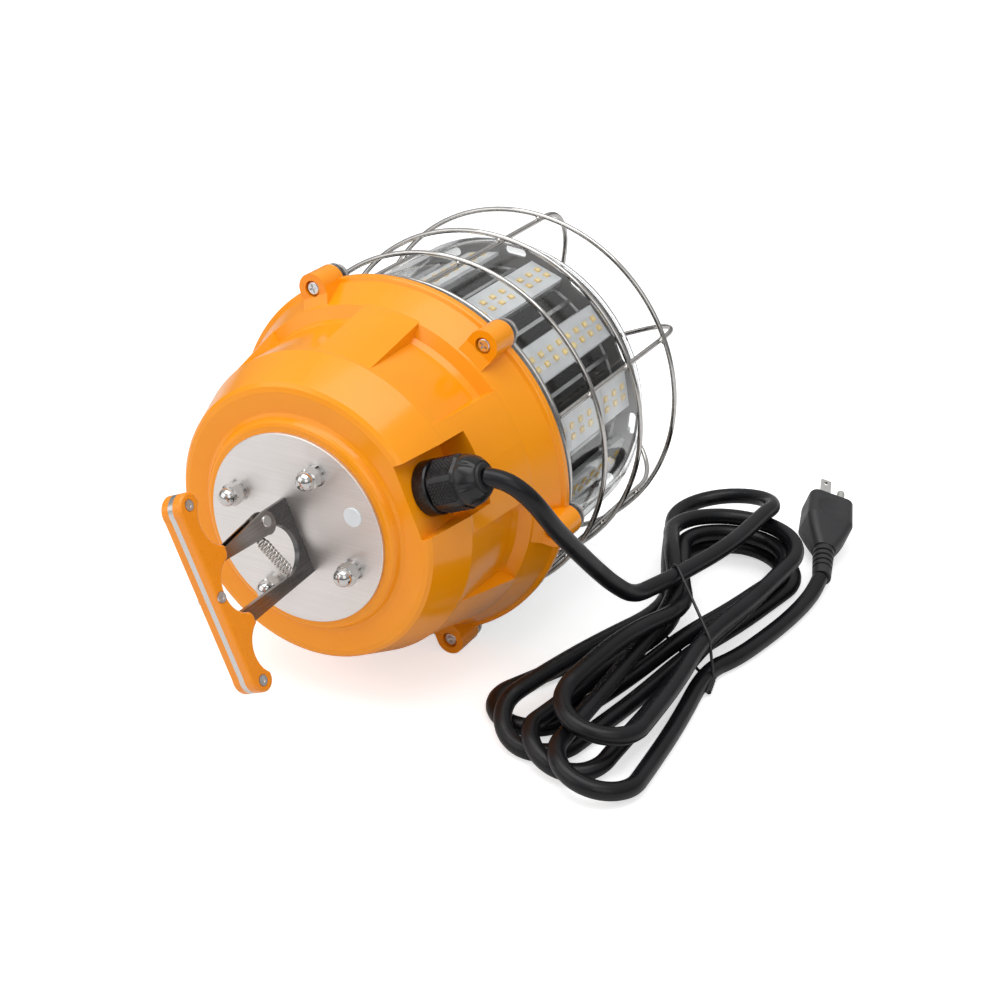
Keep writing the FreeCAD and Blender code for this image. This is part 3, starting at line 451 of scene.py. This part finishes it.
def add_chips():
    """Every LED as a frame with its window; the window is the second material."""
    verts, faces, window = [], [], []
    first_row = LAST_ROW - (CHIP_ROWS - 1) * CHIP_PITCH
    for board in range(BOARDS):
        angle = math.radians(FIRST_BOARD + 360.0 / BOARDS * board)
        out = Vector((math.sin(angle), 0.0, math.cos(angle)))
        side = Vector((math.cos(angle), 0.0, -math.sin(angle)))
        for row in range(CHIP_ROWS):
            for sign in (-1, 1):
                at = Vector((0, PLATE_Y + first_row + row * CHIP_PITCH, AXIS_Z))
                add_chip(verts, faces, out * BOARD_FACE_R + side * sign * ROW_OFFSET + at, out, side)
                window.append(len(faces) - 1)
    piece = add_mesh("led_packages", verts, faces, smooth=False)
    return piece, window


chips, chip_windows = add_chips()
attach(chips, "lamp")
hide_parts("led_chips")


# ---------------------------------------------------------------- gland nut
GLAND_ANGLE = math.radians(67.0)     # of the gland's axis, from the top towards +X
GLAND_DEPTH = 25.0                   # behind the plate
NUT_FLATS_R = 12.8                   # from the nut's axis to its flats
NUT_CORNER_R = 13.6
NUT_FROM, NUT_ROWS, NUT_ROW_STEP = 74.0, 64, 0.25
NUT_TO = NUT_FROM + (NUT_ROWS - 1) * NUT_ROW_STEP
NUT_EDGE, NUT_EDGE_DROP = 1.2, 0.9   # width and drop of the rounding at each end of the flats
SIDE_POINTS = 44                     # points across each flat
KNURL_HALF_W, KNURL_FROM, KNURL_TO = 5.6, 75.6, 88.2
KNURL_PITCH, KNURL_DROP, KNURL_SLOPE = 1.9, 0.62, 0.24
# Distance along the axis, radius, and depth of the ribs, down the dome and into its mouth.
NUT_DOME = [(90.0, 12.4, 0.5), (90.9, 12.6, 0.9), (92.4, 12.4, 1.0), (94.2, 11.8, 1.0), (95.8, 11.0, 0.8),
            (97.2, 9.9, 0.5), (98.4, 8.8, 0.15), (99.0, 8.2, 0.0), (99.2, 7.7, 0.0), (99.0, 7.45, 0.0),
            (96.0, 7.4, 0.0)]


def nut_radius(rho, turn):
    """Radius of the hexagonal part at a distance along its axis and an angle round it."""
    within = ((turn + math.pi / 6) % (math.pi / 3)) - math.pi / 6
    along = NUT_FLATS_R * math.tan(within)
    edge = min(abs(rho - NUT_FROM), abs(rho - NUT_TO), NUT_EDGE) / NUT_EDGE
    radius = min(NUT_FLATS_R / math.cos(within), NUT_CORNER_R) - NUT_EDGE_DROP * (1 - edge)
    if abs(along) < KNURL_HALF_W and KNURL_FROM < rho < KNURL_TO:
        p, q = (along + rho) / KNURL_PITCH, (along - rho) / KNURL_PITCH
        line = min(abs(p - round(p)), abs(q - round(q)))
        radius -= KNURL_DROP * (1 - min(1.0, line / KNURL_SLOPE))
    return radius


def add_gland_nut():
    """Hexagonal nut with diamond knurled flats and a ribbed, domed end."""
    axis = Vector((math.sin(GLAND_ANGLE), 0.0, math.cos(GLAND_ANGLE)))
    u = Vector((0.0, 1.0, 0.0))
    v = axis.cross(u)
    centre = Vector((0.0, PLATE_Y + GLAND_DEPTH, AXIS_Z))
    count = 6 * SIDE_POINTS
    angles = [2 * math.pi * (k + 0.5) / count for k in range(count)]
    rings = []
    for row in range(NUT_ROWS):
        rho = NUT_FROM + NUT_ROW_STEP * row
        rings.append((rho, [nut_radius(rho, a) for a in angles]))
    for rho, radius, rib in NUT_DOME:
        rings.append((rho, [radius - rib * 0.8 * max(0.0, math.cos(6 * a)) ** 6 for a in angles]))
    verts = [(centre + axis * rho + u * r * math.cos(a) + v * r * math.sin(a)) * MM
             for rho, radii in rings for r, a in zip(radii, angles)]
    faces = []
    for i in range(len(rings) - 1):
        for k in range(count):
            m = (k + 1) % count
            faces.append((i * count + k, i * count + m, (i + 1) * count + m, (i + 1) * count + k))
    faces.append(tuple(reversed(range(count))))
    piece = add_mesh("gland_cap", verts, faces)
    piece.data.set_sharp_from_angle(angle=math.radians(28))
    return piece


gland_cap = add_gland_nut()
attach(gland_cap, "lamp")
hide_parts("gland_nut")


# ---------------------------------------------------------------- welds of the wire guard
FIRST_WIRE = 7.0             # degrees from the top towards +X
WIRES = 6
RING_DEPTHS = (139.4, 183.2, 228.2)
WELD_R = 97.3                # from the lamp's axis
WELD_HALF_W, WELD_HALF_H = 2.3, 1.25
WELD_PINCH = 0.25            # how far a weld is drawn out along the wires that it joins


def add_welds():
    """A small bead where each wire of the guard crosses a ring."""
    bm = bmesh.new()
    bmesh.ops.create_icosphere(bm, subdivisions=3, radius=1.0)
    ball = [p.co.copy() for p in bm.verts]
    ball_faces = [tuple(q.index for q in f.verts) for f in bm.faces]
    bm.free()
    along = Vector((0, 1, 0))
    verts, faces = [], []
    for wire in range(WIRES):
        for depth in RING_DEPTHS:
            centre = lamp_point(WELD_R, FIRST_WIRE + 360.0 / WIRES * wire, depth)
            out = (centre - Vector((0, centre.y, AXIS_Z * MM))).normalized()
            side = along.cross(out)
            faces += [tuple(len(verts) + k for k in face) for face in ball_faces]
            for c in ball:
                half_w = WELD_HALF_W * (1.0 + WELD_PINCH * math.cos(4 * math.atan2(c.y, c.x + 1e-9)))
                bead = (along * c.x + side * c.y) * half_w + out * c.z * WELD_HALF_H
                verts.append(centre + bead * MM)
    return add_mesh("guard_welds", verts, faces)


welds = add_welds()
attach(welds, "lamp")


# ---------------------------------------------------------------- materials
COAT_ROUGHNESS = 0.05
FINE = 0.0002                # height of a fine surface grain, in metres


class Look:
    """One node material, built up from its shader."""

    def __init__(self, name, color=(0.8, 0.8, 0.8), metallic=0.0, roughness=0.5, coat=0.0, specular=0.5,
                 ior=1.5):
        self.mat = bpy.data.materials.new(name)
        self.mat.use_nodes = True
        self.nodes = self.mat.node_tree.nodes
        self.links = self.mat.node_tree.links
        self.shader = self.nodes["Principled BSDF"]
        self.shader.inputs["Base Color"].default_value = (*color, 1)
        self.shader.inputs["Metallic"].default_value = metallic
        self.shader.inputs["Roughness"].default_value = roughness
        self.shader.inputs["Coat Weight"].default_value = coat
        self.shader.inputs["Coat Roughness"].default_value = COAT_ROUGHNESS
        self.shader.inputs["Specular IOR Level"].default_value = specular
        self.shader.inputs["IOR"].default_value = ior
        self.place = self.nodes.new("ShaderNodeTexCoord").outputs["Object"]

    def noise(self, scale, detail=4.0, stretch=None, turn=(0.0, 0.0, 0.0)):
        """Soft noise, stretched by its own scale on each axis where one is given."""
        source = self.place
        if stretch:
            mapping = self.nodes.new("ShaderNodeMapping")
            mapping.inputs["Scale"].default_value = stretch
            mapping.inputs["Rotation"].default_value = turn
            self.links.new(source, mapping.inputs["Vector"])
            source = mapping.outputs["Vector"]
        node = self.nodes.new("ShaderNodeTexNoise")
        node.inputs["Scale"].default_value = scale
        node.inputs["Detail"].default_value = detail
        self.links.new(source, node.inputs["Vector"])
        return node.outputs["Fac"]

    def ramp(self, value, low, high, start=0.35, end=0.65):
        """A value mapped from start..end to low..high, and held at both ends."""
        node = self.nodes.new("ShaderNodeMapRange")
        node.inputs["From Min"].default_value = start
        node.inputs["From Max"].default_value = end
        node.inputs["To Min"].default_value = low
        node.inputs["To Max"].default_value = high
        self.links.new(value, node.inputs["Value"])
        return node.outputs["Result"]

    def mix(self, factor, a, b):
        """Colour a where the factor is 0 and b where it is 1."""
        node = self.nodes.new("ShaderNodeMix")
        node.data_type = "RGBA"
        self.links.new(factor, node.inputs["Factor"])
        for index, value in ((6, a), (7, b)):
            if isinstance(value, tuple):
                node.inputs[index].default_value = (*value, 1)
            else:
                self.links.new(value, node.inputs[index])
        return node.outputs[2]

    def combine(self, operation, a, b):
        """Two values put together by a math node."""
        node = self.nodes.new("ShaderNodeMath")
        node.operation = operation
        self.links.new(a, node.inputs[0])
        self.links.new(b, node.inputs[1])
        return node.outputs[0]

    def radius(self):
        """Distance from the lamp's axis, in metres."""
        shift = self.nodes.new("ShaderNodeVectorMath")
        shift.operation = "MULTIPLY_ADD"
        shift.inputs[1].default_value = (1.0, 0.0, 1.0)
        shift.inputs[2].default_value = (0.0, 0.0, -AXIS_Z * MM)
        self.links.new(self.place, shift.inputs[0])
        length = self.nodes.new("ShaderNodeVectorMath")
        length.operation = "LENGTH"
        self.links.new(shift.outputs["Vector"], length.inputs[0])
        return length.outputs["Value"]

    def along(self):
        """Place along the lamp's axis, in metres."""
        split = self.nodes.new("ShaderNodeSeparateXYZ")
        self.links.new(self.place, split.inputs[0])
        return split.outputs["Y"]

    def color(self, socket):
        self.links.new(socket, self.shader.inputs["Base Color"])
        return self

    def rough(self, socket):
        self.links.new(socket, self.shader.inputs["Roughness"])
        return self

    def bump(self, value, strength, distance):
        node = self.nodes.new("ShaderNodeBump")
        node.inputs["Strength"].default_value = strength
        node.inputs["Distance"].default_value = distance
        self.links.new(value, node.inputs["Height"])
        self.links.new(node.outputs["Normal"], self.shader.inputs["Normal"])
        return self


def plastic(name, light, dark, rough=(0.2, 0.3), coat=0.0, grain=1800.0, bump=0.05, patch=22.0, specular=0.5):
    """Moulded plastic: a faint drift in its colour, a fine moulded grain, and uneven gloss."""
    look = Look(name, light, roughness=rough[0], coat=coat, specular=specular)
    drift = look.ramp(look.noise(patch, 3.0), 0.0, 1.0)
    look.color(look.mix(drift, light, dark))
    look.rough(look.ramp(look.noise(160.0, 5.0), rough[0], rough[1]))
    return look.bump(look.noise(grain, 2.0), bump, FINE)


def steel(name, light, dark, rough=(0.1, 0.2), streak=(400.0, 400.0, 400.0), turn=(0.0, 0.0, 0.0), bump=0.04):
    """Bare or plated metal: streaked along its working direction, with patches of different gloss."""
    look = Look(name, light, metallic=1.0, roughness=rough[0])
    lines = look.noise(1.0, 6.0, stretch=streak, turn=turn)
    look.color(look.mix(look.ramp(lines, 0.0, 1.0, 0.3, 0.7), light, dark))
    look.rough(look.ramp(look.noise(60.0), rough[0], rough[1], 0.3, 0.7))
    return look.bump(lines, bump, FINE)


orange = plastic("orange_moulding", (0.98, 0.335, 0.003), (0.95, 0.315, 0.002), rough=(0.18, 0.24), coat=0.15,
                 grain=1300.0, bump=0.02, specular=0.38)
grip_orange = plastic("orange_grip", (0.95, 0.300, 0.004), (0.90, 0.270, 0.002), rough=(0.25, 0.33),
                      coat=0.15, grain=2200.0, bump=0.06)
black_nylon = plastic("black_nylon", (0.007, 0.007, 0.008), (0.012, 0.012, 0.014), rough=(0.20, 0.32),
                      bump=0.06, specular=0.4)
seal_rubber = plastic("seal_rubber", (0.010, 0.010, 0.011), (0.018, 0.018, 0.018), rough=(0.55, 0.7),
                      bump=0.1)
cord_pvc = plastic("cord_pvc", (0.005, 0.005, 0.006), (0.009, 0.009, 0.011), rough=(0.27, 0.36), grain=900.0,
                   bump=0.04, patch=40.0, specular=0.3)
plug_pvc = plastic("plug_pvc", (0.020, 0.020, 0.022), (0.028, 0.028, 0.030), rough=(0.38, 0.5), grain=1600.0,
                   bump=0.1)
tie_plastic = plastic("tie_plastic", (0.012, 0.012, 0.013), (0.02, 0.02, 0.02), rough=(0.35, 0.5))
gasket = plastic("gasket_rubber", (0.75, 0.74, 0.72), (0.66, 0.65, 0.63), rough=(0.5, 0.65), bump=0.1)
breather = plastic("breather_white", (0.80, 0.84, 0.86), (0.72, 0.77, 0.80), rough=(0.3, 0.42), bump=0.04)
terminal = plastic("terminal_plastic", (0.5, 0.5, 0.48), (0.42, 0.42, 0.4), rough=(0.4, 0.55))
chip_body = plastic("led_body", (0.90, 0.60, 0.16), (0.84, 0.53, 0.12), rough=(0.3, 0.4))
chip_window = plastic("led_window", (0.96, 0.82, 0.44), (0.92, 0.74, 0.34), rough=(0.22, 0.35), coat=0.2,
                      grain=3000.0, patch=300.0)

plate_steel = steel("brushed_plate", (0.82, 0.79, 0.77), (0.76, 0.73, 0.71), rough=(0.40, 0.50),
                    streak=(25.0, 25.0, 1800.0), turn=(0.0, 0.35, 0.0), bump=0.05)
gate_steel = steel("gate_steel", (0.36, 0.33, 0.31), (0.24, 0.22, 0.21), rough=(0.16, 0.26),
                   streak=(1500.0, 40.0, 1500.0), bump=0.06)
chrome = steel("bright_chrome", (0.64, 0.63, 0.62), (0.56, 0.55, 0.54), rough=(0.04, 0.09), bump=0.02)
cage_steel = steel("guard_wire", (0.64, 0.62, 0.60), (0.54, 0.52, 0.50), rough=(0.06, 0.13), bump=0.03)
bolt_steel = steel("bolt_steel", (0.66, 0.65, 0.64), (0.55, 0.54, 0.53), rough=(0.15, 0.28), bump=0.06)
spring_steel = steel("spring_wire", (0.62, 0.60, 0.57), (0.46, 0.44, 0.42), rough=(0.10, 0.2), bump=0.04)
rivet_steel = steel("rivet_steel", (0.80, 0.79, 0.78), (0.68, 0.67, 0.66), rough=(0.28, 0.40), bump=0.08)
screw_steel = steel("screw_steel", (0.80, 0.79, 0.78), (0.66, 0.65, 0.64), rough=(0.12, 0.25), bump=0.05)
pin_steel = steel("pin_plating", (0.84, 0.83, 0.80), (0.74, 0.72, 0.69), rough=(0.14, 0.26),
                  streak=(1500.0, 60.0, 1500.0), bump=0.06)
engine_metal = steel("cast_aluminium", (0.62, 0.62, 0.62), (0.52, 0.52, 0.52), rough=(0.3, 0.45), bump=0.12)


def hook_look():
    """Ground steel with painted reflection: painted charcoal beside the plate, painted brown-grey further out
    along the hook, and painted bright on the handle's centre strip, standing in for what the one steel plate
    mirrors.
    """
    look = Look("hook_steel", metallic=1.0)
    lines = look.noise(1.0, 6.0, stretch=(1500.0, 30.0, 1500.0))
    worn = look.ramp(lines, 0.0, 1.0, 0.3, 0.7)
    # Painted reflection: the three colours below stand in for dark and bright surroundings mirrored in the
    # steel, not for different metals.
    near = look.mix(worn, (0.17, 0.165, 0.165), (0.11, 0.105, 0.105))
    arm_painted_reflection = look.mix(worn, (0.34, 0.28, 0.24), (0.25, 0.20, 0.17))
    core_painted_highlight = look.mix(worn, (0.70, 0.69, 0.67), (0.58, 0.57, 0.56))
    # Painted reflection: blends the dark colour by the plate into the brown-grey one further out along the
    # lamp's axis.
    plate_and_arm_painted_reflection = look.mix(look.ramp(look.along(), 1.0, 0.0, -0.150, -0.110), near, arm_painted_reflection)
    # Painted highlight: the handle's centre strip gets the bright colour.
    look.color(look.mix(look.ramp(look.along(), 1.0, 0.0, -0.1555, -0.1545), plate_and_arm_painted_reflection, core_painted_highlight))
    look.rough(look.ramp(look.noise(60.0, 4.0), 0.20, 0.32, 0.3, 0.7))
    return look.bump(lines, 0.06, FINE)


def sink_look():
    """Dark anodised body whose fin tips and board seats are machined bright."""
    look = Look("dark_anodised", metallic=1.0)
    lines = look.noise(1.0, 6.0, stretch=(1500.0, 20.0, 1500.0))
    dark = look.mix(look.ramp(lines, 0.0, 1.0, 0.3, 0.7), (0.075, 0.068, 0.064), (0.045, 0.041, 0.039))
    bright = look.mix(look.ramp(lines, 0.0, 1.0, 0.3, 0.7), (0.72, 0.72, 0.72), (0.60, 0.60, 0.60))
    look.color(look.mix(look.ramp(look.radius(), 0.0, 1.0, 0.0703, 0.0708), dark, bright))
    look.rough(look.ramp(look.noise(60.0, 4.0), 0.24, 0.38, 0.3, 0.7))
    return look.bump(lines, 0.08, FINE)


def end_look():
    """Dark cover with one bright pressed line round it."""
    look = Look("dark_end_plate", roughness=0.38)
    drift = look.ramp(look.noise(22.0, 3.0), 0.0, 1.0)
    dark = look.mix(drift, (0.075, 0.068, 0.064), (0.055, 0.050, 0.048))
    inner = look.ramp(look.radius(), 0.0, 1.0, 0.0692, 0.0694)
    outer = look.ramp(look.radius(), 1.0, 0.0, 0.0706, 0.0708)
    look.color(look.mix(look.combine("MULTIPLY", inner, outer), dark, (0.62, 0.62, 0.62)))
    look.rough(look.ramp(look.noise(160.0, 5.0), 0.30, 0.45))
    return look.bump(look.noise(1800.0, 2.0), 0.06, FINE)


def board_look():
    """Pale solder mask with a faint weave and uneven gloss."""
    look = Look("led_board", (0.78, 0.79, 0.78), roughness=0.35, coat=0.2)
    drift = look.ramp(look.noise(45.0, 3.0), 0.0, 1.0)
    look.color(look.mix(drift, (0.70, 0.71, 0.72), (0.62, 0.63, 0.65)))
    look.rough(look.ramp(look.noise(220.0), 0.28, 0.42))
    return look.bump(look.noise(900.0, 2.0), 0.08, FINE)


def clear_look():
    """Clear moulded lens with a frosted flange, which lets lamps through to what it covers."""
    look = Look("clear_lens", (0.97, 0.98, 0.98), roughness=0.03, ior=1.45)
    look.shader.inputs["Transmission Weight"].default_value = 1.0
    frosted = look.ramp(look.radius(), 0.0, 0.6, 0.0885, 0.0895)
    look.rough(look.combine("MAXIMUM", look.ramp(look.noise(30.0, 3.0), 0.01, 0.05), frosted))
    look.bump(look.noise(28.0, 2.0, stretch=(1.0, 0.25, 1.0)), 0.12, 0.0008)
    path = look.nodes.new("ShaderNodeLightPath")
    clear = look.nodes.new("ShaderNodeBsdfTransparent")
    clear.inputs["Color"].default_value = (0.93, 0.94, 0.94, 1)
    both = look.nodes.new("ShaderNodeMixShader")
    look.links.new(path.outputs["Is Shadow Ray"], both.inputs["Fac"])
    look.links.new(look.shader.outputs["BSDF"], both.inputs[1])
    look.links.new(clear.outputs["BSDF"], both.inputs[2])
    look.links.new(both.outputs["Shader"], look.nodes["Material Output"].inputs["Surface"])
    return look


board = board_look()
clear = clear_look()
hook_steel = hook_look()
sink_dark = sink_look()
end_dark = end_look()

LOOKS = {
    "top_housing": orange, "mount_plate": plate_steel, "breather_plug": breather,
    "plate_studs": bolt_steel, "flat_washers": bolt_steel, "lock_washers": bolt_steel, "acorn_nuts": chrome,
    "hook_plate": hook_steel, "grip_left": grip_orange, "grip_right": grip_orange, "grip_rivets": rivet_steel,
    "gate_rivet": bolt_steel, "hook_gate": gate_steel,
    "gland_body": black_nylon, "gland_locknut": black_nylon, "gland_seal": seal_rubber,
    "cord_entry": cord_pvc,
    "housing_gasket": gasket, "lens_drum": clear, "engine_base": engine_metal, "heat_sink": sink_dark,
    "end_plate": end_dark, "driver_case": engine_metal, "driver_bracket": engine_metal,
    "terminal_block": terminal,
    "cage_base_ring": cage_steel, "cage_end_ring": cage_steel, "cage_ring_front": cage_steel,
    "cage_ring_middle": cage_steel, "cage_ring_rear": cage_steel, "cage_feet": screw_steel,
    "boss_screws": screw_steel, "plug_body": plug_pvc, "plug_strain_relief": plug_pvc,
    "plug_blades": pin_steel, "plug_ground_pin": pin_steel,
}
for index in range(WIRES):
    LOOKS["cage_wire_%d" % (index + 1)] = cage_steel
for index in range(BOARDS):
    LOOKS["led_board_%02d" % (index + 1)] = board


def dress(piece, *looks):
    """Give a piece its looks, in the order of its material slots."""
    piece.data.materials.clear()
    for look in looks:
        piece.data.materials.append(look.mat)


for name, look in LOOKS.items():
    for slot in NODES[name].material_slots:
        slot.material = look.mat
dress(lead, cord_pvc)
dress(tie, tie_plastic)
dress(spring, spring_steel)
dress(chips, chip_body, chip_window)
for index in chip_windows:
    chips.data.polygons[index].material_index = 1
dress(gland_cap, black_nylon)
dress(welds, cage_steel)

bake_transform(spring)


# ---------------------------------------------------------------- floor, light and air
FLOOR_HALF = 8.0             # metres
FLOOR_GLOW = 0.60            # lifts the floor to white where it is looked at; it lights nothing


def add_floor():
    bm = bmesh.new()
    bmesh.ops.create_grid(bm, x_segments=12, y_segments=12, size=FLOOR_HALF)
    mesh = bpy.data.meshes.new("floor")
    bm.to_mesh(mesh)
    bm.free()
    floor = bpy.data.objects.new("floor", mesh)
    bpy.context.scene.collection.objects.link(floor)
    look = Look("pale_floor", (0.80, 0.80, 0.80), roughness=0.7, specular=0.2)
    look.color(look.mix(look.ramp(look.noise(3.0, 2.0), 0.0, 1.0), (0.80, 0.80, 0.80), (0.785, 0.785, 0.79)))
    path = look.nodes.new("ShaderNodeLightPath")
    seen = look.combine("ADD", path.outputs["Is Camera Ray"], path.outputs["Is Transmission Ray"])
    look.shader.inputs["Emission Color"].default_value = (1.0, 1.0, 1.0, 1)
    look.links.new(look.ramp(seen, 0.0, FLOOR_GLOW, 0.0, 1.0), look.shader.inputs["Emission Strength"])
    floor.data.materials.append(look.mat)


def add_area(name, place, target, size, power):
    """A soft rectangular lamp; places and sizes in metres, power in watts."""
    data = bpy.data.lights.new(name, "AREA")
    data.shape = "RECTANGLE"
    data.size, data.size_y = size
    data.energy = power
    light = bpy.data.objects.new(name, data)
    bpy.context.scene.collection.objects.link(light)
    light.location = place
    light.rotation_euler = (Vector(target) - Vector(place)).to_track_quat("-Z", "Y").to_euler()


def add_world():
    """Pale air that is brighter overhead than near the floor."""
    world = bpy.data.worlds.new("studio")
    bpy.context.scene.world = world
    world.use_nodes = True
    nodes, links = world.node_tree.nodes, world.node_tree.links
    place = nodes.new("ShaderNodeTexCoord")
    split = nodes.new("ShaderNodeSeparateXYZ")
    rise = nodes.new("ShaderNodeMapRange")
    rise.inputs["From Min"].default_value = 0.0
    rise.inputs["From Max"].default_value = 0.65
    rise.inputs["To Min"].default_value = 0.15
    rise.inputs["To Max"].default_value = 0.62
    links.new(place.outputs["Generated"], split.inputs[0])
    links.new(split.outputs["Z"], rise.inputs["Value"])
    links.new(rise.outputs["Result"], nodes["Background"].inputs["Strength"])
    nodes["Background"].inputs["Color"].default_value = (1.0, 1.0, 1.0, 1)


add_floor()
add_world()
add_area("overhead", (0.0, -0.2, 1.5), (0.0, 0.0, 0.1), (1.6, 1.0), 13.0)
add_area("front_left", (-1.1, -1.4, 1.0), (0.0, 0.0, 0.1), (2.0, 1.6), 11.0)
add_area("camera_side", (1.2, -1.0, 1.0), (0.05, 0.0, 0.1), (1.0, 1.0), 3.0)
bpy.context.scene.view_settings.view_transform = "Standard"
